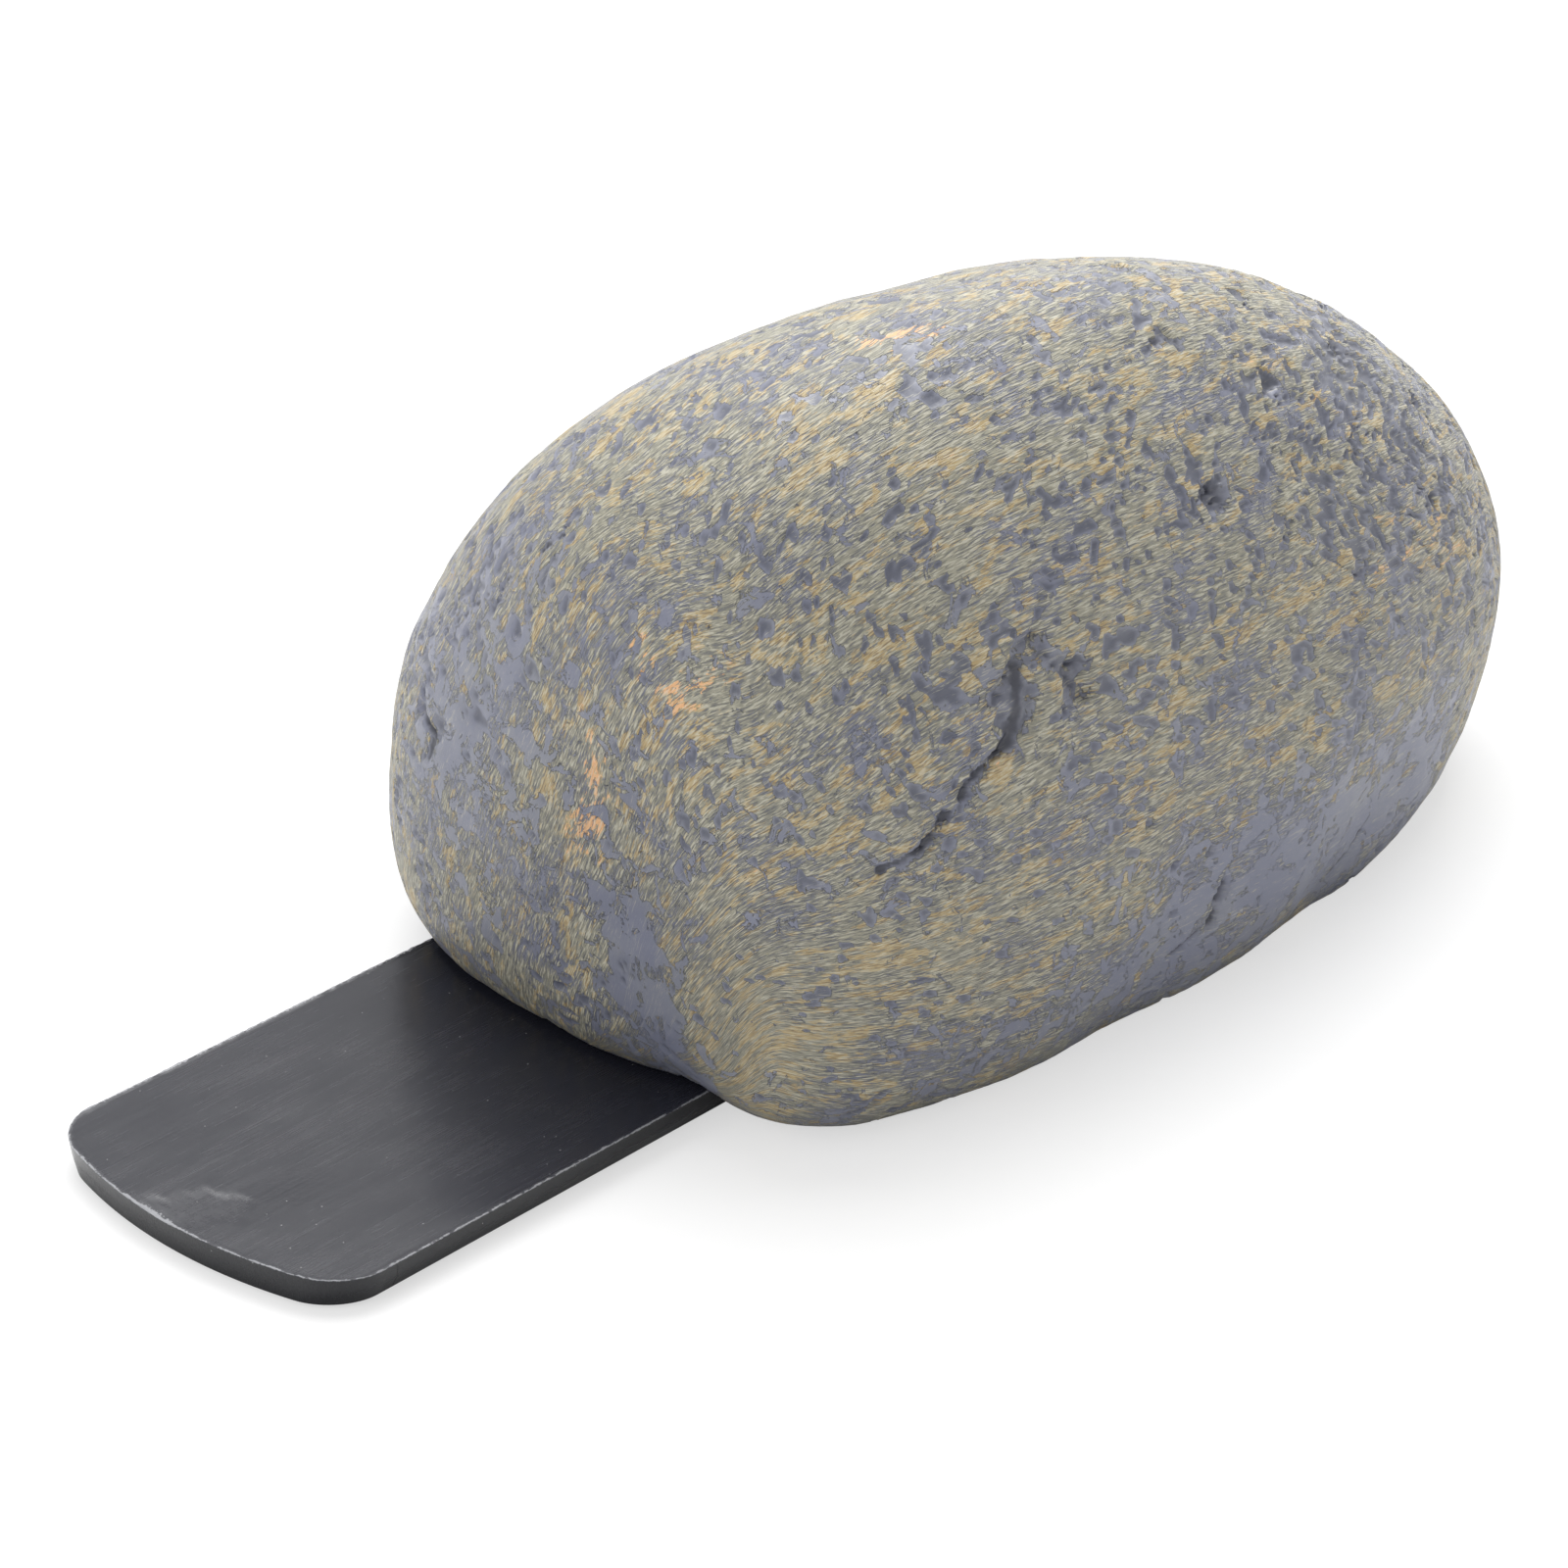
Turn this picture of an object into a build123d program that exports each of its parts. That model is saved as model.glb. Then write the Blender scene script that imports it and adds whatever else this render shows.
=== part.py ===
from build123d import *
from math import cos, exp, pi, sin
import os

# Key-hiding rock: a cast resin pebble with a moulded key box let into its underside and a flat
# cover that slides out of the nose. Millimetres. The origin is on the flat underside, under the
# cover's centre line. +Z is up, the blunt nose points along -X and the cover is drawn out that way.

# Pebble: an egg lying on its side, blunt at the nose and rounder at the tail. The near side is the
# one towards -Y. A bluntness is the power of an end curve: 2 is an ellipse, more is blunter.
HALF_LENGTH = 47.3
NEAR_HALF_WIDTH = 23.0
FAR_HALF_WIDTH = 38.0
DOME_HEIGHT = 34.9          # from the widest line up to the top
BELLY_HEIGHT = 15.9         # height of the widest line
BASE_SINK = 5.4             # how far the uncut pebble reaches below its flat underside
NOSE_BLUNTNESS = 3.2
NOSE_BLUNTNESS_FAR = 2.8
TAIL_BLUNTNESS_NEAR = 2.05
TAIL_BLUNTNESS_FAR = 2.8
TAIL_BLUNTNESS_TOP = 1.8
TAIL_BLUNTNESS_BASE = 2.0
DOME_FULLNESS = 1.73        # power of the upper half of a cross-section
BASE_FULLNESS = 3.7         # power of its lower half
DOME_TAPER = 0.14           # share by which the tail is lower and the nose higher
FAR_TAPER = 0.13            # the same for the far half width
BELLY_SLOPE = -0.9          # how much lower the widest line is at the tail
RIDGE_OFFSET = -9.4         # the top line lies on the near side
RIDGE_LEAN = -0.12          # and leans further that way with height

# Soft local forms of the pebble: start, end, reach and height (hollows are negative)
FORMS = [
    ((-47.0, -11.0, 22.0), (-44.0, -15.0, 2.0), 5.0, -1.2),    # hollow between nose and near flank
    ((-42.0, -19.0, 4.0), (-39.0, -22.0, 4.0), 6.0, 1.0),      # lump beside the mouth
    ((-11.0, -33.0, 14.0), (-14.0, -30.0, 2.0), 5.0, -0.6),    # hollow low on the near flank
    ((15.0, -30.0, 10.0), (9.0, -29.0, 2.0), 5.0, -0.7),       # dent low towards the tail
]
CORE_HALF_LENGTH = 24.0     # the forms push away from a line through the pebble
CORE_Y = -4.0
CORE_Z = 18.0
STATIONS = 12
RING_POINTS = 18

# Cracks cast into the near flank: points on the skin, half width and depth
CRACKS = [
    ([(-26.9, -29.0, 35.6), (-28.0, -29.8, 31.5), (-29.2, -30.0, 29.8), (-32.7, -29.5, 28.0),
      (-36.6, -28.7, 24.0)], 0.7, 0.9),
    ([(-6.2, -31.5, 10.8), (-6.7, -31.2, 8.7), (-7.1, -30.9, 6.6)], 0.6, 0.8),
    ([(-8.0, -30.7, 7.0), (-9.8, -30.5, 6.2), (-11.4, -30.2, 5.7)], 0.4, 0.5),
]
CRACK_LIFT = 1.0            # how far the cutting wedge stands above the skin

# Shallow chips, spread over the top and the tail
CHIPS = 30
CHIP_FROM = -0.1            # along the pebble, -1 at the nose and 1 at the tail
CHIP_TO = 0.93
CHIP_TURN_FROM = 0.12       # round it in half turns, from the far side over the top
CHIP_TURN_TO = 0.9
CHIP_RADIUS = 1.5
CHIP_FLOOR_RADIUS = 0.5
CHIP_DEPTH = 0.45
CHIP_SIDES = 5
GOLDEN_SHARE = 0.618        # steps of this share spread things evenly

# Cover: a flat plate with bevelled long edges and an arched free end
COVER_LENGTH = 70.0
COVER_WIDTH = 30.0          # at the inner face, where it is widest
COVER_THICKNESS = 2.3
COVER_LIFT = 0.3            # its outer face stays this far above the ground
COVER_TIP_X = -80.0         # free end with the cover drawn half way out
ARC_RADIUS = 41.0
CORNER_RADIUS = 4.4
BEVEL_START = 1.1           # height up the edge at which the bevel begins
BEVEL_INSET = 0.7           # the outer face is narrower by this at each long edge
EDGE_DRAFT = 0.15           # lean of the upper band of the edge
END_DRAFT = 0.25
GRIP_GROOVES = 4            # shallow thumb grooves across the outer face
GRIP_START = 9.0
GRIP_PITCH = 2.4
GRIP_LENGTH = 15.0
GRIP_RADIUS = 0.5

# Key box: a moulded tray, open downwards, with a flange that holds the cover's two grooves
POCKET_FRONT_X = -35.0
POCKET_LENGTH = 59.0        # takes a house key of about 57 by 25 mm
POCKET_WIDTH = 26.0
POCKET_TOP = 15.0
WALL = 1.8
FLANGE_WIDTH = 34.0
FLANGE_BASE = 0.2
FLANGE_TOP = 5.0
BACK_STOP = 1.7             # solid end of the flange behind the grooves
PLAY = 0.25                 # air round the cover in its grooves
MOUTH_PLAY = 0.3            # air round the cover in the pebble's mouth
GLUE_GAP = 0.2              # between the box's sides and its seat
BOX_CORNER = 3.0
POCKET_CORNER = 1.5
ROOF_ROUNDING = 1.2

REACH = 200.0               # larger than anything here, for cutting tools

cover_top = COVER_LIFT + COVER_THICKNESS
box_front_x = POCKET_FRONT_X - WALL
pocket_back_x = POCKET_FRONT_X + POCKET_LENGTH
tray_back_x = pocket_back_x + WALL
flange_back_x = tray_back_x + BACK_STOP


def superellipse(angle, power):
    """Point on a unit curve whose power is 2 for a circle and more for a squarer one."""
    radius = (abs(cos(angle)) ** power + abs(sin(angle)) ** power) ** (-1 / power)
    return radius * cos(angle), radius * sin(angle)


def swell(along, nose, tail):
    """Share of the full size at a place that runs from -1 at the nose to 1 at the tail."""
    power = nose if along < 0 else tail
    return max(0.0, 1 - abs(along) ** power) ** (1 / power)


def egg_point(along, turn):
    """Point of the plain egg, turn going round from the far side over the top."""
    across, rise = superellipse(turn, DOME_FULLNESS if sin(turn) > 0 else BASE_FULLNESS)
    if rise > 0:
        height = DOME_HEIGHT * swell(along, NOSE_BLUNTNESS, TAIL_BLUNTNESS_TOP) * (1 - DOME_TAPER * along)
    else:
        height = (BELLY_HEIGHT + BASE_SINK) * swell(along, NOSE_BLUNTNESS, TAIL_BLUNTNESS_BASE) ** 0.75
    if across > 0:
        width = FAR_HALF_WIDTH * swell(along, NOSE_BLUNTNESS_FAR, TAIL_BLUNTNESS_FAR) * (1 - FAR_TAPER * along)
    else:
        width = NEAR_HALF_WIDTH * swell(along, NOSE_BLUNTNESS, TAIL_BLUNTNESS_NEAR)
    z = BELLY_HEIGHT + BELLY_SLOPE * along + height * rise
    y = RIDGE_OFFSET + width * across + RIDGE_LEAN * (max(z, 0) - BELLY_HEIGHT)
    return Vector(HALF_LENGTH * along, y, z)


def distance_to_run(point, start, end):
    run = end - start
    share = (point - start).dot(run) / run.dot(run)
    return (point - (start + run * min(1, max(0, share)))).length


def outward(point):
    """Direction away from the pebble's core line."""
    core_x = min(CORE_HALF_LENGTH, max(-CORE_HALF_LENGTH, point.X))
    return (point - Vector(core_x, CORE_Y, CORE_Z)).normalized()


def pebble_point(along, turn):
    """The egg's point, moved in or out by the local forms."""
    point = egg_point(along, turn)
    push = sum(
        height * exp(-(distance_to_run(point, Vector(*start), Vector(*end)) / reach) ** 2)
        for start, end, reach, height in FORMS
    )
    return point + outward(point) * push


def pebble():
    """Rings of the skin, evenly spaced along it, lofted from nose to tail and cut flat below."""
    rings = []
    for station in range(1, STATIONS):
        angle = pi * station / STATIONS
        along = -superellipse(angle, NOSE_BLUNTNESS if angle < pi / 2 else TAIL_BLUNTNESS_TOP)[0]
        ring = [pebble_point(along, 2 * pi * step / RING_POINTS) for step in range(RING_POINTS)]
        rings.append(Wire([Edge.make_spline(ring, periodic=True)]))
    nose, tail = (Vertex(*pebble_point(end, 0)) for end in (-1, 1))
    body = Solid.make_loft([nose, *rings, tail])
    return body & Pos(0, 0, REACH / 2) * Box(REACH, REACH, REACH)


def crack(route, half_width, depth):
    """Wedge that opens outwards and follows a route on the skin, narrow at both ends."""
    points = [Vector(*place) for place in route]
    wedges = []
    for number, point in enumerate(points):
        out = outward(point)
        ahead = points[min(number + 1, len(points) - 1)] - points[max(number - 1, 0)]
        side = ahead.cross(out).normalized()
        share = 0.25 if number in (0, len(points) - 1) else 1.0
        half = half_width * share * (1 + CRACK_LIFT / depth)
        rim = point + out * CRACK_LIFT
        wedges.append(Wire.make_polygon([rim - side * half, rim + side * half, point - out * depth * share]))
    return Solid.make_loft(wedges, ruled=True)


def chips():
    """Blunt five-sided pits whose size and turn change from one to the next."""
    for number in range(CHIPS):
        along = CHIP_FROM + (CHIP_TO - CHIP_FROM) * (number + 0.5) / CHIPS
        spread = number * GOLDEN_SHARE % 1
        place = pebble_point(along, pi * (CHIP_TURN_FROM + (CHIP_TURN_TO - CHIP_TURN_FROM) * spread))
        size = 0.7 + 0.6 * (number * GOLDEN_SHARE * GOLDEN_SHARE % 1)
        skin = Plane(origin=place, z_dir=outward(place)) * Rot(0, 0, 360 * spread)
        wall = (CHIP_RADIUS - CHIP_FLOOR_RADIUS) * size
        floor = Pos(0, 0, -CHIP_DEPTH * size) * RegularPolygon(CHIP_FLOOR_RADIUS * size, CHIP_SIDES)
        rim = Pos(0, 0, CHIP_DEPTH * size) * RegularPolygon(
            CHIP_RADIUS * size + wall, CHIP_SIDES)
        yield skin * loft([floor, rim])


def block(x_from, x_to, width, z_from, z_to, corner, roof_rounding=0.0):
    """Block on the centre line with rounded upright edges and, if asked, a rounded roof."""
    middle = Pos((x_from + x_to) / 2, 0, (z_from + z_to) / 2)
    solid = middle * Box(x_to - x_from, width, z_to - z_from)
    solid = fillet(solid.edges().filter_by(Axis.Z), corner)
    if roof_rounding:
        solid = fillet(solid.edges().group_by(Axis.Z)[-1], roof_rounding)
    return solid


def cover_section(play):
    """Cross-section of the cover, or of its grooves when play is added all round."""
    half = COVER_WIDTH / 2 + play
    low, waist, top = COVER_LIFT - play, COVER_LIFT + BEVEL_START, cover_top + play
    return make_face(Polyline(
        (-half, top), (-half + EDGE_DRAFT, waist), (-half + BEVEL_INSET, low),
        (half - BEVEL_INSET, low), (half - EDGE_DRAFT, waist), (half, top), close=True))


def cover_run(x_from, x_to, play):
    """The cover's cross-section drawn along X."""
    plane = Plane(origin=(x_from, 0, 0), x_dir=(0, 1, 0), z_dir=(1, 0, 0))
    return extrude(plane * cover_section(play), x_to - x_from)


def cover_plan(inset):
    """Plan of the cover: straight sides, rounded corners and an arched free end."""
    tip = COVER_TIP_X + inset
    width = COVER_WIDTH - 2 * inset
    middle_x = COVER_TIP_X + COVER_LENGTH / 2
    strip = Pos(middle_x, 0) * Rectangle(COVER_LENGTH, width)
    disc = Pos(tip + ARC_RADIUS, 0) * Circle(ARC_RADIUS)
    back = Pos(middle_x + CORNER_RADIUS * 2, 0) * Rectangle(COVER_LENGTH - CORNER_RADIUS * 4, width)
    plan = strip & (disc + back)
    return fillet(plan.vertices().sort_by(Axis.X)[:2], CORNER_RADIUS)


def slide_cover():
    """The plate, bevelled along its sides and arched at its free end."""
    run = cover_run(COVER_TIP_X, COVER_TIP_X + COVER_LENGTH, 0)
    arched = loft([Pos(0, 0, COVER_LIFT) * cover_plan(END_DRAFT), Pos(0, 0, cover_top) * cover_plan(0)])
    plate = run & arched
    for row in range(GRIP_GROOVES):
        groove_x = COVER_TIP_X + GRIP_START + row * GRIP_PITCH
        plate -= Pos(groove_x, 0, COVER_LIFT) * Rot(90, 0, 0) * Cylinder(GRIP_RADIUS, GRIP_LENGTH)
    return plate


def key_box():
    """The tray and its flange, hollowed from below and grooved from the front."""
    flange = block(box_front_x, flange_back_x, FLANGE_WIDTH, FLANGE_BASE, FLANGE_TOP, BOX_CORNER)
    tray = block(box_front_x, tray_back_x, POCKET_WIDTH + 2 * WALL, FLANGE_BASE, POCKET_TOP + WALL,
                 BOX_CORNER, ROOF_ROUNDING)
    pocket = block(POCKET_FRONT_X, pocket_back_x, POCKET_WIDTH, -REACH, POCKET_TOP, POCKET_CORNER,
                   ROOF_ROUNDING)
    grooves = cover_run(box_front_x - 1, tray_back_x, PLAY)
    return flange + tray - pocket - grooves


def stone_body():
    """The pebble with a stepped seat for the key box and a mouth for the cover at the nose."""
    flange_seat = block(box_front_x - GLUE_GAP, flange_back_x + GLUE_GAP, FLANGE_WIDTH + 2 * GLUE_GAP,
                        -1, FLANGE_TOP, BOX_CORNER)
    tray_seat = block(box_front_x - GLUE_GAP, tray_back_x + GLUE_GAP,
                      POCKET_WIDTH + 2 * WALL + 2 * GLUE_GAP, -1, POCKET_TOP + WALL, BOX_CORNER)
    mouth_length = HALF_LENGTH + 5 + box_front_x
    mouth = Pos(box_front_x - mouth_length / 2, 0, 0) * Box(
        mouth_length, COVER_WIDTH + 2 * MOUTH_PLAY, 2 * (cover_top + MOUTH_PLAY))
    weathered = pebble() - list(chips())
    for made in CRACKS:
        weathered -= crack(*made)
    return weathered - flange_seat - tray_seat - mouth


def save(shape, node):
    """One STEP file for each piece, in the assembly's frame."""
    export_step(shape, "parts/" + node + ".step")


os.makedirs("parts", exist_ok=True)
save(stone_body(), "stone_body")
save(key_box(), "key_box")
save(slide_cover(), "slide_cover")
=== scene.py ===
from math import acos, atan2, cos, exp, pi, radians, sin, tan

import bmesh
import bpy
from mathutils import Matrix, Vector, noise


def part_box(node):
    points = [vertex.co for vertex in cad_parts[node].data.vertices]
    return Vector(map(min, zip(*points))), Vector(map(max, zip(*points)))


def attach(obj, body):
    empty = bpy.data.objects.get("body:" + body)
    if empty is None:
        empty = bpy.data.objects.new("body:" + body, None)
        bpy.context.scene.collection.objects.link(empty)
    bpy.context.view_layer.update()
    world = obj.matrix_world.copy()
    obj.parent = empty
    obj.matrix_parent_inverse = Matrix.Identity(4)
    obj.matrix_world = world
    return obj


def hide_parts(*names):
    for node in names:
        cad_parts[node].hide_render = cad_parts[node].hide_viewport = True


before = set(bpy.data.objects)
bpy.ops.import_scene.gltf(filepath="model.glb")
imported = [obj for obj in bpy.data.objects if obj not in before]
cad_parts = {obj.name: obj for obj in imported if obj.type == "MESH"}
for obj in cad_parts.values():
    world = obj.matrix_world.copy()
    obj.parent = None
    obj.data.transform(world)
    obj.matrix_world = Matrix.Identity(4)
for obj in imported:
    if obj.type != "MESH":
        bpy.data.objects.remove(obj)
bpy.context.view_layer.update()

# Key-hiding rock. The shapes below are worked out in millimetres and turned into metres once each
# mesh is finished. +X runs from the blunt nose to the tail, -Y is the near side, z = 0 the ground.
MM = 0.001

# Pebble, with the same driving dimensions as the solid
HALF_LENGTH = 47.3
NEAR_HALF_WIDTH = 23.0
FAR_HALF_WIDTH = 38.0
DOME_HEIGHT = 34.9
BELLY_HEIGHT = 15.9
BASE_SINK = 5.4
NOSE_BLUNTNESS = 3.2
NOSE_BLUNTNESS_FAR = 2.8
TAIL_BLUNTNESS_NEAR = 2.05
TAIL_BLUNTNESS_FAR = 2.8
TAIL_BLUNTNESS_TOP = 1.8
TAIL_BLUNTNESS_BASE = 2.0
DOME_FULLNESS = 1.73
BASE_FULLNESS = 3.7
DOME_TAPER = 0.14
FAR_TAPER = 0.13
BELLY_SLOPE = -0.9
RIDGE_OFFSET = -9.4
RIDGE_LEAN = -0.12
CORE_HALF_LENGTH = 24.0
CORE = Vector((0.0, -4.0, 18.0))
FORMS = [
    ((-47.0, -11.0, 22.0), (-44.0, -15.0, 2.0), 5.0, -1.2),
    ((-42.0, -19.0, 4.0), (-39.0, -22.0, 4.0), 6.0, 1.0),
    ((-11.0, -33.0, 14.0), (-14.0, -30.0, 2.0), 5.0, -0.6),
    ((15.0, -30.0, 10.0), (9.0, -29.0, 2.0), 5.0, -0.7),
]
SKIN_CELLS = 112            # cells along each edge of the cube that becomes the skin

# Cover, with the same driving dimensions as the solid
COVER_LENGTH = 70.0
COVER_WIDTH = 30.0
COVER_THICKNESS = 2.3
COVER_LIFT = 0.3
COVER_TIP_X = -80.0
ARC_RADIUS = 41.0
CORNER_RADIUS = 4.4
BEVEL_START = 1.1
BEVEL_INSET = 0.7
EDGE_DRAFT = 0.15
END_DRAFT = 0.25
GRIP_GROOVES = 4
GRIP_START = 9.0
GRIP_PITCH = 2.4
GRIP_LENGTH = 15.0
GRIP_RADIUS = 0.5
COVER_CELLS_LONG = 230      # cells of its mesh from tip to back
COVER_CELLS_WIDE = 84
COVER_ROWS = 9

# Seat and mouth cut into the pebble
FLANGE_TOP = 5.0
TRAY_TOP = 16.8
TRAY_BACK_X = 25.8
TRAY_WIDTH = 29.6
BOX_CORNER = 3.0
SEAT_GAP = 0.2
MOUTH_PLAY = 0.3

# Camera: where the photograph was taken from
CAMERA_TARGET = Vector((-2.71, 15.53, 0.3))
CAMERA_DISTANCE = 388.1
CAMERA_AZIMUTH = -46.99
CAMERA_ELEVATION = 27.73
CAMERA_LENS = 112.5
SENSOR = 36.0


# ---------------------------------------------------------------- small helpers


def smooth(value, low, high):
    share = min(1.0, max(0.0, (value - low) / (high - low)))
    return share * share * (3 - 2 * share)


def distance_to_run(point, start, end):
    run = end - start
    share = (point - start).dot(run) / run.dot(run)
    return (point - (start + run * min(1.0, max(0.0, share)))).length


def runs_at(point, runs):
    """Sum of soft ridges, each with a start, an end, a reach and a height."""
    return sum(
        height * exp(-((distance_to_run(point, Vector(start), Vector(end)) / reach) ** 2))
        for start, end, reach, height in runs
    )


def grain(point, size, seed=0.0):
    """Smooth noise from -1 to 1 whose lumps are about as wide as size."""
    return noise.noise(point / size + Vector((seed, seed * 1.7, -seed)))


def finish_mesh(bm, name, material, sharp=radians(50)):
    """Turns a finished bmesh in millimetres into an object at the origin, in metres."""
    bmesh.ops.transform(bm, matrix=Matrix.Scale(MM, 4), verts=bm.verts)
    mesh = bpy.data.meshes.new(name)
    bm.to_mesh(mesh)
    bm.free()
    mesh.shade_smooth()
    mesh.set_sharp_from_angle(angle=sharp)
    mesh.materials.append(material)
    obj = bpy.data.objects.new(name, mesh)
    bpy.context.scene.collection.objects.link(obj)
    return obj


# ---------------------------------------------------------------- shader signals


class Signal:
    """A shader socket that Python's operators and a few short methods work on."""

    def __init__(self, finish, socket):
        self.finish, self.socket = finish, socket

    def math(self, operation, *values):
        return self.finish.node("ShaderNodeMath", {"operation": operation},
                                dict(enumerate(values)))

    def __add__(self, other):
        return self.math("ADD", self, other)

    def __sub__(self, other):
        return self.math("SUBTRACT", self, other)

    def __rsub__(self, other):
        return self.math("SUBTRACT", other, self)

    def __mul__(self, other):
        return self.math("MULTIPLY", self, other)

    __radd__ = __add__
    __rmul__ = __mul__

    def clipped(self):
        return self.finish.node("ShaderNodeClamp", {}, {0: self})

    def step(self, low, high):
        """0 below low, 1 above high and a soft step between them."""
        return self.finish.node("ShaderNodeMapRange", {"interpolation_type": "SMOOTHSTEP"},
                                {0: self, 1: low, 2: high})


class Finish:
    """The nodes of a material or of the world, under construction."""

    def __init__(self, holder):
        self.holder = holder
        holder.use_nodes = True
        self.tree = holder.node_tree
        self.tree.nodes.clear()

    def node(self, kind, settings, inputs, output=0):
        made = self.tree.nodes.new(kind)
        for key, value in settings.items():
            setattr(made, key, value)
        for key, value in inputs.items():
            if isinstance(value, Signal):
                self.tree.links.new(value.socket, made.inputs[key])
            else:
                made.inputs[key].default_value = value
        return Signal(self, made.outputs[output]) if made.outputs else None

    def place(self, sizes):
        """Object coordinates, counted in sizes (mm)."""
        spot = self.node("ShaderNodeTexCoord", {}, {}, "Object")
        return self.node("ShaderNodeMapping", {"vector_type": "TEXTURE"},
                         {0: spot, "Scale": [size * MM for size in sizes]})

    def strokes(self, length, width):
        """Place counted along and across the brush strokes that the skin carries (mm)."""
        return self.node("ShaderNodeCombineXYZ", {}, {
            0: self.mark("along") * (1 / length), 1: self.mark("across") * (1 / width),
            2: self.mark("drift") * (1 / length)})

    def clouds(self, place, detail=3.0, roughness=0.55, distortion=0.0):
        """Noise from 0 to 1 whose lumps are one unit of place wide."""
        return self.node("ShaderNodeTexNoise", {}, {
            "Vector": place, "Scale": 1.0, "Detail": detail, "Roughness": roughness,
            "Distortion": distortion})

    def specks(self, place, radius):
        """1 inside small dots, one in each cell of place."""
        reach = self.node("ShaderNodeTexVoronoi", {}, {"Vector": place, "Scale": 1.0})
        return 1 - reach.step(radius * 0.6, radius)

    def mark(self, name):
        """A value stored on the mesh's own points."""
        return self.node("ShaderNodeAttribute", {"attribute_name": name}, {}, "Fac")

    def blend(self, below, above, share):
        """The colour below, covered by the colour above where share is 1."""
        return self.node("ShaderNodeMix", {"data_type": "RGBA"},
                         {0: share, 6: below, 7: above}, 2)

    def surface(self, colour, roughness, relief, depth, specular=0.5):
        """Principled surface with a bump of a depth in millimetres."""
        bump = self.node("ShaderNodeBump", {}, {"Height": relief, "Distance": depth * MM})
        shader = self.node("ShaderNodeBsdfPrincipled", {}, {
            "Base Color": colour, "Roughness": roughness, "Normal": bump,
            "Specular IOR Level": specular})
        self.node("ShaderNodeOutputMaterial", {}, {0: shader})
        return self.holder


# ---------------------------------------------------------------- colours


def tint(code):
    """Linear colour of an sRGB code such as 6d7183."""
    parts = [int(code[i:i + 2], 16) / 255 for i in (0, 2, 4)]
    return [p / 12.92 if p < 0.04045 else ((p + 0.055) / 1.055) ** 2.4 for p in parts] + [1.0]


SLATE = tint("6c6f7f")
# Painted shade for the grooves between the strokes and the bare hollows
SLATE_SHADE = tint("40434f")
SLATE_GREY = tint("7b7d84")
OLIVE = tint("827f6b")
STRAW = tint("b2ae9a")
OCHRE = tint("ab9058")
PEACH = tint("dca778")
# Painted shade for the cracks, broken pits and chips
CRACK_SHADE = tint("34353e")
# Painted highlight for the ridges of the strokes
STROKE_HIGHLIGHT = tint("c8c4b6")
STROKE_RELIEF = 0.15        # height of the finest strokes


def painted_resin():
    """Slate base coat, dry brushed with olive, ochre, straw and a little peach, bare in the pits, with
    painted shade in the pits, cracks and stroke grooves and painted highlights on the stroke ridges.
    """
    f = Finish(bpy.data.materials.new("painted resin"))
    hollow, crack = f.mark("hollow"), f.mark("crack")
    caught, blush = f.mark("paint"), f.mark("blush")
    hair = f.clouds(f.strokes(1.2, 0.11), 1.0, 0.5, 0.5)
    fine = f.clouds(f.strokes(1.7, 0.24), 3.0, 0.65, 0.9)
    broad = f.clouds(f.strokes(5.0, 1.3), 5.0, 0.62, 0.6)
    stray = f.clouds(f.strokes(2.4, 0.13), 2.0, 0.6, 1.2)
    patch = f.clouds(f.place((6, 6, 6)), 3.0)
    blot = f.clouds(f.place((2.1, 2.1, 2.1)), 8.0, 0.68, 0.7)
    grit = f.clouds(f.place((0.2, 0.2, 0.2)), 2.0)

    bare = (hollow * 0.8 + (0.5 - blot) * 2.4 + (0.62 - caught) * 1.2).step(0.19, 0.24)
    reach = caught + (patch - 0.5) * 1.0 + (blot - 0.5) * 0.6
    olive = (reach + (fine - 0.5) * 1.3 + (hair - 0.5) * 0.7).step(0.3, 0.62) * (1 - bare * 0.96)
    straw = (hair + (fine - 0.5) * 0.8 + (reach - 0.6) * 0.3).step(0.5, 0.62) * (1 - bare * 0.85)
    ochre = (reach * 0.6 + (broad - 0.5) * 2.6 + (fine - 0.5) * 1.3).step(0.48, 0.6) * (1 - bare)
    peach = (blush + (broad - 0.5) * 1.7 + (fine - 0.5) * 1.4).step(0.66, 0.74) * (1 - bare)

    colour = f.blend(SLATE, SLATE_GREY, patch.step(0.4, 0.7) * 0.5)
    colour = f.blend(colour, OLIVE, olive * 0.8)
    colour = f.blend(colour, OCHRE, ochre * 0.7)
    colour = f.blend(colour, STRAW, straw * 0.3)
    # painted shade in the grooves between the hair strokes
    colour = f.blend(colour, SLATE_SHADE, (1 - hair.step(0.36, 0.46)) * (1 - bare * 0.9) * 0.5)
    colour = f.blend(colour, PEACH, peach * 0.8)
    # painted highlight along the ridges of the finest strokes
    colour = f.blend(colour, STROKE_HIGHLIGHT, (hair + fine * 0.3).step(0.72, 0.8) * (1 - bare) * 0.36)
    # painted shade over the bare slate, deepest in the pits and cracks
    colour = f.blend(colour, SLATE_SHADE, bare * (hollow + 0.5 - blot).step(0.2, 0.9) * 0.6)
    colour = f.blend(colour, STRAW, (stray + (broad - 0.5) * 0.5).step(0.62, 0.68) * 0.5)
    # painted shade in the cracks, broken pits and chips
    colour = f.blend(colour, CRACK_SHADE, crack.step(0.35, 0.95) * 0.85)

    relief = (0.3 + olive * 0.4) * (hair * 0.8 + fine * 0.5) * (1 - bare * 0.9) + grit * 0.05
    roughness = 0.42 + olive * 0.16 + (grit - 0.5) * 0.2
    return f.surface(colour, roughness, relief - bare * 0.25, STROKE_RELIEF)


COVER_BLACK = tint("0f1015")
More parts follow.
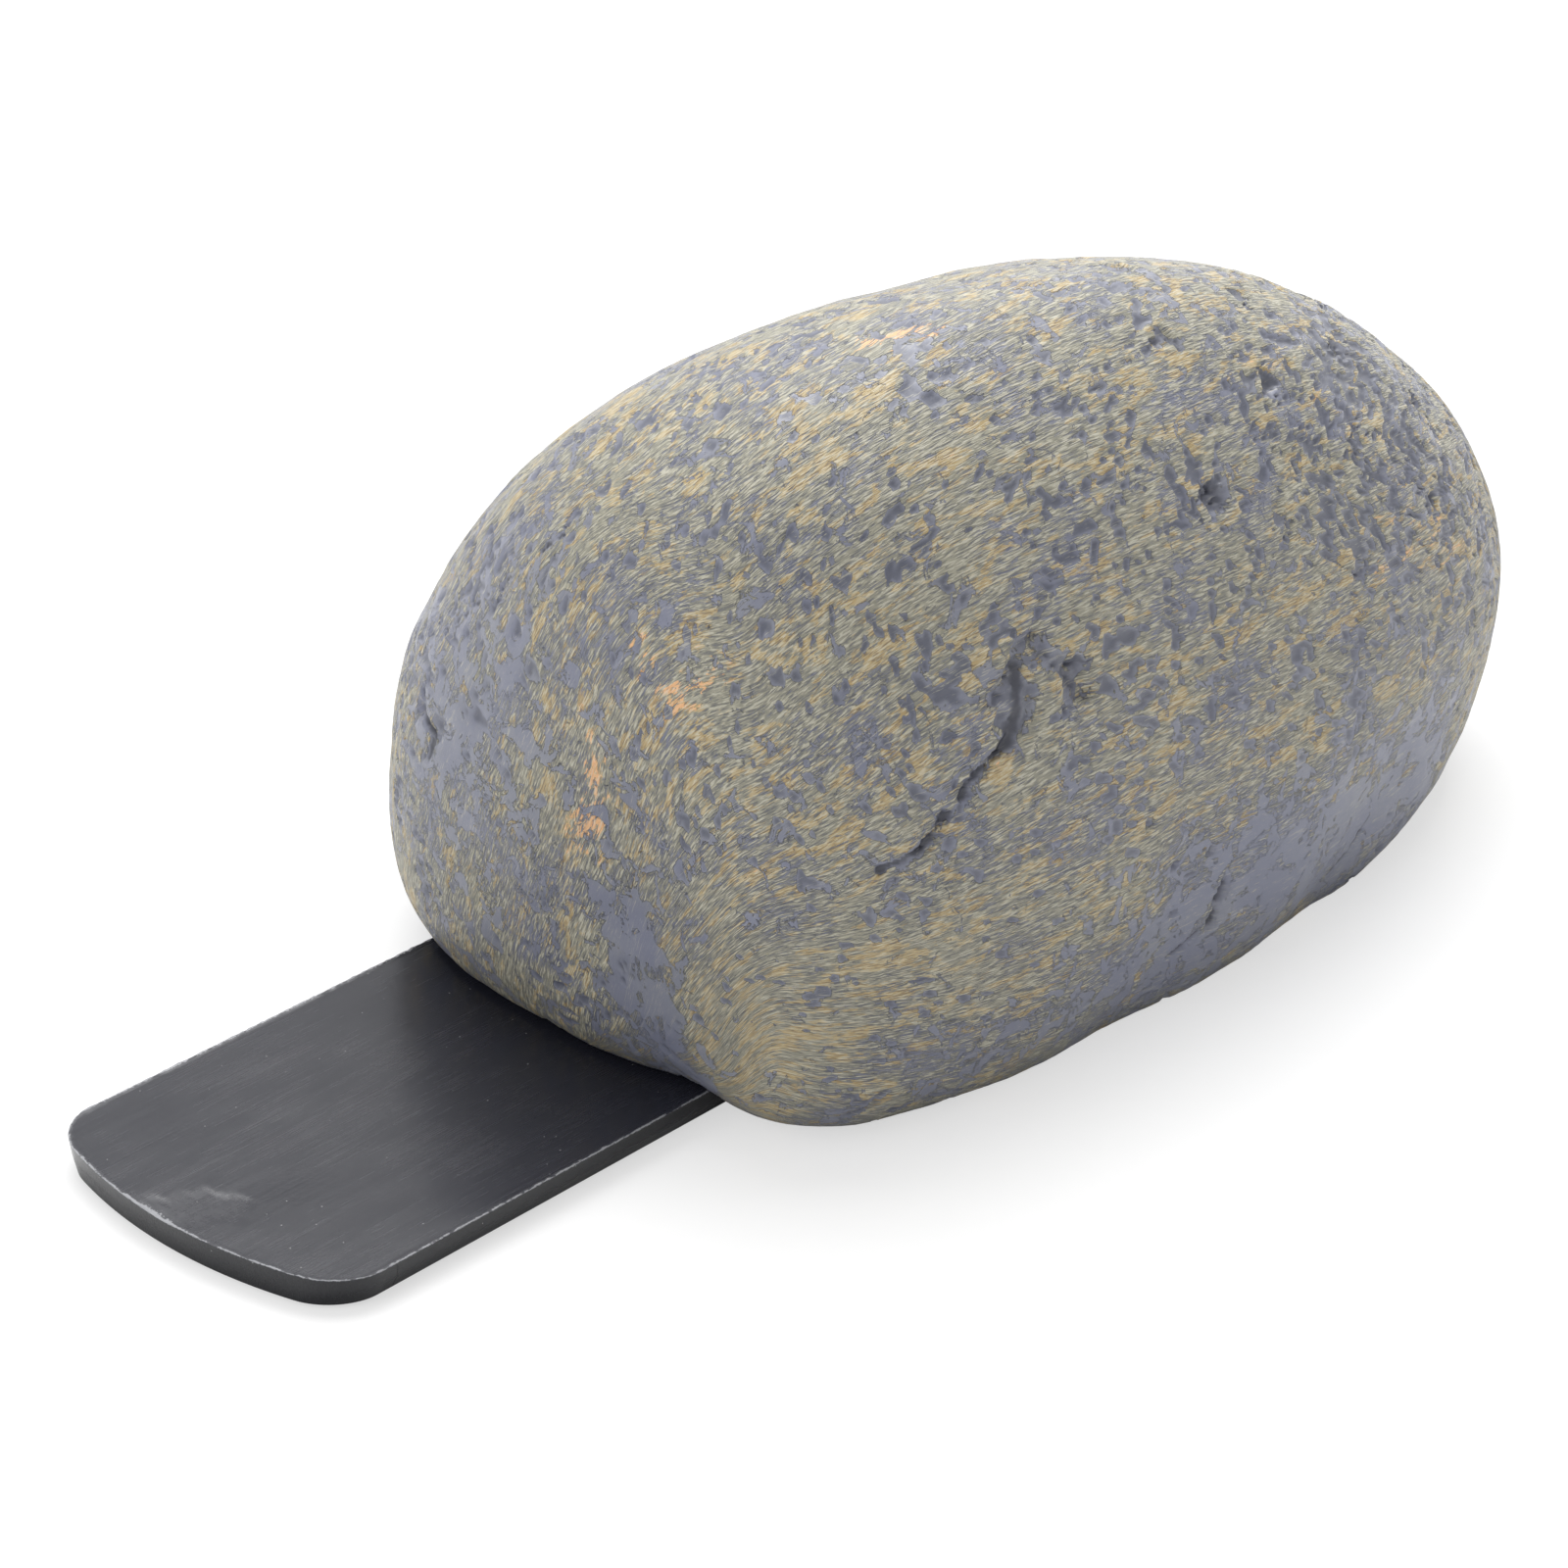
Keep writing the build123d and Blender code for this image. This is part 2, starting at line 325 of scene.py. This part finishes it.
# Painted sheen that lightens the upper face
COVER_TOP_SHEEN = tint("22232b")
COVER_SCUFF = tint("85868a")
DUST_WHITE = tint("9a9a9a")
SANDING_RELIEF = 0.012
COVER_GLOSS = 0.38


def black_plastic():
    """Black moulding with fine sanding streaks, pale scuffed edges, a few white specks and a painted
    sheen on its upper face.
    """
    f = Finish(bpy.data.materials.new("black plastic"))
    scuff = f.mark("scuff")
    streak = f.clouds(f.place((5.0, 0.14, 1.0)), 3.0, 0.6, 0.2)
    cloud = f.clouds(f.place((9, 9, 9)), 3.0)
    fine = f.clouds(f.place((0.16, 0.16, 0.16)), 3.0)
    dots = f.specks(f.place((1.3, 1.3, 1.3)), 0.05)
    # painted sheen: the upper face is lightened
    colour = f.blend(COVER_BLACK, COVER_TOP_SHEEN, f.mark("face") * (0.6 + streak * 0.5))
    colour = f.blend(colour, COVER_SCUFF, streak.step(0.62, 0.9) * 0.1)
    colour = f.blend(colour, COVER_SCUFF, (scuff + (fine - 0.5) * 1.2).step(0.45, 0.7))
    colour = f.blend(colour, DUST_WHITE, dots * 0.7)
    roughness = 0.25 + (streak - 0.5) * 0.2 + (cloud - 0.5) * 0.15 + scuff * 0.3
    return f.surface(colour, roughness, streak * 0.6 + fine * 0.4, SANDING_RELIEF, specular=COVER_GLOSS)


# ---------------------------------------------------------------- the pebble


def superellipse(angle, power):
    """Point on a unit curve whose power is 2 for a circle and more for a squarer one."""
    radius = (abs(cos(angle)) ** power + abs(sin(angle)) ** power) ** (-1 / power)
    return radius * cos(angle), radius * sin(angle)


def swell(along, nose, tail):
    """Share of the full size at a place that runs from -1 at the nose to 1 at the tail."""
    power = nose if along < 0 else tail
    return max(0.0, 1 - abs(along) ** power) ** (1 / power)


def egg_point(along, turn):
    """Point of the plain egg, turn going round from the far side over the top."""
    across, rise = superellipse(turn, DOME_FULLNESS if sin(turn) > 0 else BASE_FULLNESS)
    if rise > 0:
        height = DOME_HEIGHT * swell(along, NOSE_BLUNTNESS, TAIL_BLUNTNESS_TOP)
        height *= 1 - DOME_TAPER * along
    else:
        height = BELLY_HEIGHT + BASE_SINK
        height *= swell(along, NOSE_BLUNTNESS, TAIL_BLUNTNESS_BASE) ** 0.75
    if across > 0:
        width = FAR_HALF_WIDTH * swell(along, NOSE_BLUNTNESS_FAR, TAIL_BLUNTNESS_FAR)
        width *= 1 - FAR_TAPER * along
    else:
        width = NEAR_HALF_WIDTH * swell(along, NOSE_BLUNTNESS, TAIL_BLUNTNESS_NEAR)
    z = BELLY_HEIGHT + BELLY_SLOPE * along + height * rise
    y = RIDGE_OFFSET + width * across + RIDGE_LEAN * (max(z, 0) - BELLY_HEIGHT)
    return Vector((HALF_LENGTH * along, y, z))


def outward(point):
    core_x = min(CORE_HALF_LENGTH, max(-CORE_HALF_LENGTH, point.x))
    return (point - Vector((core_x, CORE.y, CORE.z))).normalized()


def pebble_point(way):
    """Point of the pebble's skin that belongs to a direction of a unit sphere."""
    angle = acos(max(-1.0, min(1.0, -way.x)))
    along = -superellipse(angle, NOSE_BLUNTNESS if angle < pi / 2 else TAIL_BLUNTNESS_TOP)[0]
    point = egg_point(along, atan2(way.z, way.y))
    return point + outward(point) * runs_at(point, FORMS)


# Cracks: a route, the half width and the depth
CRACKS = [
    ([(-27.3, -29.1, 34.7), (-28.0, -29.8, 31.5), (-29.2, -30.0, 29.8)], 0.8, 0.7),
    ([(-29.2, -30.0, 29.8), (-31.0, -29.9, 29.2), (-32.7, -29.5, 28.0), (-33.4, -29.4, 26.9),
      (-35.4, -29.1, 25.4), (-36.6, -28.7, 24.0)], 0.3, 0.6),
    ([(-36.6, -28.7, 24.0), (-37.6, -28.4, 23.9), (-39.2, -27.5, 23.0)], 0.3, 0.3),
    ([(-41.8, 0.1, 40.1), (-42.5, 5.3, 35.0), (-42.0, 11.8, 29.2)], 0.16, 0.12),
    ([(-6.3, -31.5, 10.4), (-6.7, -31.2, 8.7), (-7.0, -30.9, 7.0)], 0.45, 0.7),
    ([(-8.3, -30.7, 6.9), (-9.8, -30.5, 6.2), (-11.0, -30.2, 5.8)], 0.25, 0.4),
    ([(10.1, -28.9, 3.8), (11.4, -29.2, 5.0), (12.7, -29.5, 6.4)], 0.3, 0.2),
    ([(-43.4, 13.0, 23.2), (-44.6, 10.6, 22.0), (-44.7, 11.2, 20.0)], 0.3, 0.25),
]
# Broken pits: centre, radius and depth
PITS = [
    ((-27.9, -29.5, 33.4), 2.1, 0.7), ((-28.1, -29.9, 31.0), 1.6, 0.8),
    ((-25.9, -29.1, 35.2), 1.6, 0.5), ((-22.8, -30.3, 32.3), 1.6, 0.8),
    ((-23.6, -30.0, 33.6), 0.9, 0.5), ((-5.1, -27.9, 39.3), 1.2, 0.8),
    ((-16.5, -32.3, 19.5), 0.4, 0.5), ((-12.6, -31.6, 14.4), 0.4, 0.5),
    ((-11.8, -30.9, 9.9), 0.4, 0.5), ((-8.4, -31.7, 13.9), 0.4, 0.4),
    ((-43.6, 13.0, 23.2), 0.8, 0.5), ((-44.6, 10.1, 23.0), 0.8, 0.5),
]
# Chips in the same places as on the solid, but narrower
CHIPS = 30
CHIP_FROM = -0.1
CHIP_TO = 0.93
CHIP_TURN_FROM = 0.12
CHIP_TURN_TO = 0.9
CHIP_RADIUS = 1.0
CHIP_DEPTH = 0.45
CHIP_SMALLEST = 0.7         # share of the full size
CHIP_GROWTH = 0.6
GOLDEN_SHARE = 0.618
# Where small pits crowd together, as soft runs
PITTED = [
    ((22.0, -20.0, 33.0), (34.0, 0.0, 25.0), 18.0, 0.16),
    ((0.0, -24.0, 44.0), (20.0, -26.0, 32.0), 10.0, 0.08),
    ((-30.0, -27.0, 34.0), (-15.0, -29.0, 34.0), 8.0, 0.12),
    ((-47.0, -11.0, 16.0), (-20.0, -31.0, 8.0), 8.0, -0.3),
    ((-11.0, -31.0, 8.0), (20.0, -29.0, 10.0), 9.0, -0.3),
    ((-47.0, 4.0, 12.0), (-46.0, -5.0, 30.0), 8.0, -0.12),
]
# How much of the dry-brushed coat caught, as soft runs
BRUSHED = [
    ((-46.8, -11.0, 16.0), (-46.0, -14.0, 4.0), 3.6, -0.34),
    ((-11.0, -31.0, 8.0), (18.0, -29.0, 8.0), 8.0, -0.3),
    ((-22.0, -30.0, 6.0), (-34.0, -28.0, 7.0), 4.0, -0.15),
    ((-44.0, -22.0, 12.0), (-30.0, -29.0, 14.0), 6.0, 0.12),
    ((-10.0, -31.0, 24.0), (14.0, -31.0, 24.0), 9.0, 0.02),
    ((-46.0, 8.0, 20.0), (-44.0, 5.0, 32.0), 9.0, -0.2),
    ((-40.0, -18.0, 42.0), (-25.0, -24.0, 45.0), 9.0, 0.06),
]
# Where the peach coat shows, as soft runs
BLUSHED = [
    ((-22.9, -12.0, 52.3), (-20.0, -12.5, 52.4), 2.6, 0.6),
    ((-45.6, -15.7, 34.6), (-44.5, -17.0, 36.5), 2.0, 0.5),
    ((-46.6, -7.5, 28.0), (-46.6, -7.0, 21.5), 3.0, 0.46),
    ((-45.6, -12.5, 34.5), (-45.4, -11.0, 36.5), 2.0, 0.35),
    ((14.0, -29.0, 30.0), (20.0, -26.0, 26.0), 6.0, 0.3),
    ((4.0, -22.0, 44.0), (12.0, -22.0, 40.0), 6.0, 0.2),
]


# Brush strokes: their direction, the one across them, and where both counts start
GIRTH_RADIUS = 28.0         # turns an angle round the girth into a length
SHOULDER_ALONG = Vector((0.75, -0.38, 0.52))
SHOULDER_ACROSS = Vector((0.0, 0.8, 0.57))
SHOULDER_START = (-28.0, -24.3)
NOSE_ALONG = Vector((0.0, -0.36, 0.93))
NOSE_ACROSS = Vector((0.0, 0.93, 0.36))
NOSE_START = (-60.0, -18.0)
TAIL_START = 20.0
DRIFT = 0.8                 # breaks the strokes up where they bend

# Height of the skin's own relief
SKIN_SINK = 0.12            # lowers the whole skin a little, against the height of the lumps
WIDE_LUMPS = 0.22
NARROW_LUMPS = 0.1
SKIN_GRAIN = 0.035
SMALL_PIT_DEPTH = 0.26
PAINT_LEVEL = 0.6           # how well the dry-brushed coat caught where no run changes it
BLUSH_LEVEL = 0.12


def chips():
    """Centre, radius and depth of each chip, from the far side over the top to the near side."""
    for number in range(CHIPS):
        along = CHIP_FROM + (CHIP_TO - CHIP_FROM) * (number + 0.5) / CHIPS
        spread = number * GOLDEN_SHARE % 1
        place = egg_point(along, pi * (CHIP_TURN_FROM + (CHIP_TURN_TO - CHIP_TURN_FROM) * spread))
        place += outward(place) * runs_at(place, FORMS)
        size = CHIP_SMALLEST + CHIP_GROWTH * (number * GOLDEN_SHARE ** 2 % 1)
        yield place, CHIP_RADIUS * size, CHIP_DEPTH * size


HOLES = PITS + [(tuple(centre), radius, depth) for centre, radius, depth in chips()]


def crack_depth(point):
    """How deep the cracks, broken pits and chips are at a point, and how much painted shade darkens them.
    """
    wobble = 0.34 * grain(point, 1.0, 3.0) + 0.2 * grain(point, 0.4, 3.5)
    depth = dark = 0.0
    ragged = 1 + 0.7 * grain(point, 1.3, 8.0)
    for route, half_width, full_depth in CRACKS:
        away = min(
            distance_to_run(point, Vector(start), Vector(end))
            for start, end in zip(route, route[1:])
        )
        share = smooth(away + wobble, half_width * 1.6 * ragged, 0.0)
        depth = max(depth, full_depth * share * ragged)
        dark = max(dark, share)
    for centre, radius, full_depth in HOLES:
        away = (point - Vector(centre)).length
        if away > 3 * radius:
            continue
        away += 0.8 * radius * grain(point, radius, 5.0)
        share = smooth(away, radius * 1.25, radius * 0.55)
        depth = max(depth, full_depth * share * (0.8 + 0.4 * grain(point, 0.8, 7.0)))
        dark = max(dark, share * 0.55)
    return depth, dark


def near_features(point, reach):
    """True close to a crack, a broken pit or a chip, where the skin needs finer cells."""
    return any((point - Vector(centre)).length < radius + reach for centre, radius, _ in HOLES) or any(
        distance_to_run(point, Vector(start), Vector(end)) < half_width + reach
        for route, half_width, _ in CRACKS
        for start, end in zip(route, route[1:])
    )


def small_pits(point):
    """Share from 0 to 1 by which a point lies in one of the crowded small pits."""
    crowd = 0.36 + runs_at(point, PITTED)
    lump = 0.6 * grain(point, 1.1, 11.0) + 0.5 * grain(point, 0.5, 13.0)
    wide = grain(point, 5.5, 17.0)
    return smooth(lump + 0.3 * wide, 0.6 - crowd, 0.76 - crowd)


def brush_place(point):
    """Where a point lies along and across the strokes, which bend upwards at the nose and the tail."""
    girth = GIRTH_RADIUS * atan2(point.y - CORE.y, point.z - CORE.z)
    shoulder = smooth(point.x, 8.0, -44.0) * smooth(point.z, 4.0, 34.0)
    nose = smooth(point.x - 0.3 * point.y, -37.0, -44.0)
    along, across = point.x, girth
    tail = smooth(point.x, 34.0, 44.0)
    along += (point.dot(SHOULDER_ALONG) + SHOULDER_START[0] - along) * shoulder
    across += (point.dot(SHOULDER_ACROSS) + SHOULDER_START[1] - across) * shoulder
    along += (point.dot(NOSE_ALONG) + NOSE_START[0] - along) * nose
    across += (point.dot(NOSE_ACROSS) + NOSE_START[1] - across) * nose
    along += (point.z + TAIL_START - along) * tail
    across += (point.y - across) * tail
    return along, across


def stone_skin():
    """Closed skin of the pebble with its cracks, pits and lumps, flat below."""
    bm = bmesh.new()
    bmesh.ops.create_cube(bm, size=2)
    bmesh.ops.subdivide_edges(bm, edges=bm.edges[:], cuts=SKIN_CELLS - 1, use_grid_fill=True)
    for vert in bm.verts:
        way = Vector([tan(part * pi / 4) for part in vert.co]).normalized()
        vert.co = pebble_point(way)
    close = [edge for edge in bm.edges if near_features(edge.verts[0].co, 0.8)]
    bmesh.ops.subdivide_edges(bm, edges=close, cuts=1, use_grid_fill=True)
    bmesh.ops.bisect_plane(bm, geom=bm.verts[:] + bm.edges[:] + bm.faces[:],
                           plane_co=(0, 0, 0), plane_no=(0, 0, 1))
    bm.normal_update()
    layers = {name: bm.verts.layers.float.new(name)
              for name in ("hollow", "crack", "paint", "blush", "along", "across", "drift")}
    moves = []
    for vert in bm.verts:
        point = vert.co
        pit = small_pits(point)
        deep, dark = crack_depth(point)
        lump = WIDE_LUMPS * grain(point, 9.0, 1.0) + NARROW_LUMPS * grain(point, 3.5, 2.0)
        rough = SKIN_GRAIN * grain(point, 0.9, 4.0)
        height = lump + rough - SKIN_SINK - SMALL_PIT_DEPTH * pit - deep
        # the crack share is the painted shade of cracks, broken pits and chips; the hollow share also
        # sets where the coat is bare
        vert[layers["hollow"]] = max(pit, dark * 0.9)
        vert[layers["crack"]] = dark
        vert[layers["paint"]] = PAINT_LEVEL + runs_at(point, BRUSHED)
        vert[layers["blush"]] = BLUSH_LEVEL + runs_at(point, BLUSHED)
        vert[layers["along"]], vert[layers["across"]] = brush_place(point)
        vert[layers["drift"]] = DRIFT * (point.x + point.z - point.y)
        moves.append((vert, vert.normal * height))
    low, high = (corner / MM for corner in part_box("stone_body"))
    for vert, move in moves:
        vert.co = [min(b, max(a, c)) for a, b, c in zip(low, high, vert.co + move)]
    return bm


def block(x_from, x_to, width, z_top, corner):
    """Cutting block on the centre line that reaches 1 mm below the ground."""
    bm = bmesh.new()
    bmesh.ops.create_cube(bm, size=1)
    bmesh.ops.transform(bm, verts=bm.verts, matrix=Matrix.Translation(
        ((x_from + x_to) / 2, 0, (z_top - 1) / 2)) @ Matrix.Diagonal(
        (x_to - x_from, width, z_top + 1, 1)))
    if corner:
        upright = [edge for edge in bm.edges
                   if abs(edge.verts[0].co.z - edge.verts[1].co.z) > z_top / 2]
        bmesh.ops.bevel(bm, geom=upright, offset=corner, segments=6, affect="EDGES",
                        profile=0.5, material=-1)
    return bm


def stone(material):
    """The skin, cut out for the key box and the cover's mouth."""
    body = finish_mesh(stone_skin(), "stone", material)
    box_low, box_high = (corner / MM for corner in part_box("key_box"))
    front, back = box_low.x - SEAT_GAP, box_high.x + SEAT_GAP
    cutters = [
        block(front, back, box_high.y - box_low.y + 2 * SEAT_GAP, FLANGE_TOP, BOX_CORNER),
        block(front, TRAY_BACK_X + SEAT_GAP, TRAY_WIDTH + 2 * SEAT_GAP, TRAY_TOP, BOX_CORNER),
        block(-HALF_LENGTH - 5, box_low.x, COVER_WIDTH + 2 * MOUTH_PLAY,
              COVER_LIFT + COVER_THICKNESS + MOUTH_PLAY, 0),
    ]
    for bm in cutters:
        cutter = finish_mesh(bm, "cutter", material)
        cut = body.modifiers.new("cut", "BOOLEAN")
        cut.object, cut.operation, cut.solver = cutter, "DIFFERENCE", "EXACT"
    depsgraph = bpy.context.evaluated_depsgraph_get()
    mesh = bpy.data.meshes.new_from_object(body.evaluated_get(depsgraph))
    for cut in list(body.modifiers):
        bpy.data.objects.remove(cut.object)
        body.modifiers.remove(cut)
    body.data = mesh
    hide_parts("stone_body")
    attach(body, "stone")


# ---------------------------------------------------------------- the cover

FLASH = 0.12                # how far the ragged flash stands above the plate
FLASH_REACH = 0.24
TORN = Vector((-79.4, 0.9, 0)), Vector((-76.4, -1.2, 0))     # torn spot near the tip
TORN_REACH = 2.1
CHEWED = [((-80.0, 4.2, 0.0), (-79.9, 0.2, 0.0), 0.8, 1.0)]  # rough stretch of the arched edge
TORN_DEPTH = 0.05
TORN_GRAIN = 0.012
CHEWED_DEPTH = 0.1
PLATE_WAVES = 0.03          # faint unevenness of the upper face
SEAM_REACH = 0.12           # half width of the scuffed line along the side
ROW_CROWDING = 1.35         # gathers the rows of cells at the tip


def cover_point(long, wide, level):
    """Point of the cover: long from tip to back and level from 0 to 1, wide from -1 to 1."""
    z = level * COVER_THICKNESS
    if z < BEVEL_START:
        inset = BEVEL_INSET + (EDGE_DRAFT - BEVEL_INSET) * z / BEVEL_START
    else:
        inset = EDGE_DRAFT * (1 - (z - BEVEL_START) / (COVER_THICKNESS - BEVEL_START))
    half = COVER_WIDTH / 2 - inset
    y = half * sin(wide * pi / 2)
    knee = half - CORNER_RADIUS * 0.8
    front = ARC_RADIUS - (ARC_RADIUS ** 2 - min(abs(y), knee) ** 2) ** 0.5
    if abs(y) > knee:
        past = (abs(y) - knee) / (half - knee)
        front += knee / ARC_RADIUS * (abs(y) - knee) + CORNER_RADIUS * (1 - (1 - past ** 2) ** 0.5) * 0.75
    front += END_DRAFT * (1 - level)
    run = COVER_LENGTH * long ** ROW_CROWDING
    x = COVER_TIP_X + run + front * smooth(run, GRIP_START - GRIP_RADIUS, 0)
    return Vector((x, y, COVER_LIFT + z)), COVER_TIP_X + front, half


def cover(material):
    """The sliding plate, with flash along its moulded edges and thumb grooves underneath."""
    bm = bmesh.new()
    bmesh.ops.create_grid(bm, x_segments=COVER_CELLS_LONG, y_segments=COVER_CELLS_WIDE, size=0.5)
    bmesh.ops.reverse_faces(bm, faces=bm.faces)
    grown = bmesh.ops.extrude_face_region(bm, geom=bm.faces[:], use_keep_orig=True)
    top = [item for item in grown["geom"] if isinstance(item, bmesh.types.BMVert)]
    bmesh.ops.translate(bm, verts=top, vec=(0, 0, 1))
    upright = [edge for edge in bm.edges if abs(edge.verts[0].co.z - edge.verts[1].co.z) > 0.5]
    bmesh.ops.subdivide_edges(bm, edges=upright, cuts=COVER_ROWS - 1, use_grid_fill=True)
    bmesh.ops.recalc_face_normals(bm, faces=bm.faces)
    scuff, face = (bm.verts.layers.float.new(name) for name in ("scuff", "face"))
    for vert in bm.verts:
        long, wide, level = vert.co.x + 0.5, vert.co.y * 2, vert.co.z
        point, front, half = cover_point(long, wide, level)
        edge = min(half - abs(point.y), point.x - front)
        flat = Vector((point.x, point.y, 0))
        ragged = 0.45 + 0.6 * grain(point, 0.5, 21.0) + 0.5 * grain(point, 0.2, 22.0)
        lip = exp(-(edge / FLASH_REACH) ** 2)
        mark = 0.0
        if level > 0.999:
            chewed = runs_at(flat, CHEWED)
            torn = smooth(distance_to_run(flat, *TORN) + 0.9 * grain(flat, 1.6, 31.0),
                          TORN_REACH, TORN_REACH - 0.25)
            point.z -= FLASH * (1 - lip * min(1.0, max(0.0, ragged)))
            along_waves = Vector((point.x * 0.4, point.y, 0))
            point.z += PLATE_WAVES * grain(along_waves, 2.5, 24.0) * (1 - lip)
            point.z -= torn * (TORN_DEPTH + TORN_GRAIN * grain(flat, 0.4, 33.0))
            point.z += chewed * CHEWED_DEPTH * min(0.0, grain(flat, 0.3, 35.0))
            mark = lip * (0.35 + 0.9 * ragged) + torn * (0.16 + 0.3 * grain(flat, 0.4, 37.0))
            mark += chewed * (0.35 + 0.6 * grain(flat, 0.25, 39.0))
        elif edge < 0.01:
            waist = exp(-((point.z - COVER_LIFT - BEVEL_START) / SEAM_REACH) ** 2)
            mark = 0.5 * waist * (0.6 + 0.8 * grain(point, 0.8, 26.0))
        if level < 0.001:
            for row in range(GRIP_GROOVES):
                off = point.x - (COVER_TIP_X + GRIP_START + row * GRIP_PITCH)
                if abs(off) < GRIP_RADIUS and abs(point.y) < GRIP_LENGTH / 2:
                    point.z += (GRIP_RADIUS ** 2 - off ** 2) ** 0.5
        vert.co = point
        vert[scuff], vert[face] = mark, float(level > 0.999)
    plate = finish_mesh(bm, "cover", material, radians(35))
    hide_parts("slide_cover")
    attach(plate, "cover")


# ---------------------------------------------------------------- studio

FLOOR_WHITE = tint("f4f4f4")
FLOOR_SHADE = tint("f0f0f0")
PAPER_GLOW = 0.6
TENT_LIGHT = 0.6


def floor():
    """White paper that keeps the shadow and is lifted towards white where the camera sees it."""
    f = Finish(bpy.data.materials.new("paper"))
    fine = f.clouds(f.place((2, 2, 2)), 2.0)
    lit = f.node("ShaderNodeBsdfDiffuse", {}, {
        "Color": f.blend(FLOOR_WHITE, FLOOR_SHADE, fine)})
    glow = f.node("ShaderNodeEmission", {}, {"Color": (1, 1, 1, 1), "Strength": 1.0})
    camera_ray = f.node("ShaderNodeLightPath", {}, {}, "Is Camera Ray")
    shader = f.node("ShaderNodeMixShader", {}, {0: camera_ray * PAPER_GLOW, 1: lit, 2: glow})
    f.node("ShaderNodeOutputMaterial", {}, {0: shader})
    bm = bmesh.new()
    bmesh.ops.create_grid(bm, x_segments=1, y_segments=1, size=6000)
    bmesh.ops.translate(bm, verts=bm.verts, vec=(0, 0, -0.05))
    sheet = finish_mesh(bm, "paper floor", f.holder)


def light_tent():
    """White all round: a plain level of light, and full white where it is seen or mirrored."""
    f = Finish(bpy.data.worlds.new("light tent"))
    seen = f.node("ShaderNodeLightPath", {}, {}, "Is Camera Ray")
    mirrored = f.node("ShaderNodeLightPath", {}, {}, "Is Glossy Ray")
    strength = TENT_LIGHT + (seen + mirrored).clipped() * (1 - TENT_LIGHT)
    glow = f.node("ShaderNodeBackground", {}, {"Color": (1, 1, 1, 1), "Strength": strength})
    f.node("ShaderNodeOutputWorld", {}, {0: glow})
    bpy.context.scene.world = f.holder


def lamp(name, place, size, power):
    """Square softbox that faces the pebble, its place and size in metres."""
    light = bpy.data.lights.new(name, "AREA")
    light.shape, light.size, light.energy = "SQUARE", size, power
    obj = bpy.data.objects.new(name, light)
    obj.location = Vector(place)
    obj.rotation_euler = (-Vector(place)).to_track_quat("-Z", "Y").to_euler()
    bpy.context.scene.collection.objects.link(obj)


def studio():
    """Light tent, paper, three softboxes and the camera."""
    scene = bpy.context.scene
    scene.view_settings.view_transform = "Standard"
    light_tent()
    floor()
    lamp("top softbox", (0.2, 0.2, 0.65), 0.6, 7.4)
    lamp("left fill", (-0.6, 0.1, 0.35), 0.5, 1.3)
    lamp("far fill", (0.6, 0.25, 0.2), 0.5, 1.0)

    azimuth, elevation = radians(CAMERA_AZIMUTH), radians(CAMERA_ELEVATION)
    back = Vector((sin(azimuth) * cos(elevation), -cos(azimuth) * cos(elevation), sin(elevation)))
    camera = bpy.data.cameras.new("camera")
    camera.lens, camera.sensor_width = CAMERA_LENS, SENSOR
    obj = bpy.data.objects.new("camera", camera)
    obj.location = (CAMERA_TARGET + CAMERA_DISTANCE * back) * MM
    obj.rotation_euler = back.to_track_quat("Z", "Y").to_euler()
    scene.collection.objects.link(obj)
    scene.camera = obj


resin, plastic = painted_resin(), black_plastic()
stone(resin)
cover(plastic)
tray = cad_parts["key_box"]
tray.data.materials.clear()
tray.data.materials.append(plastic)
studio()
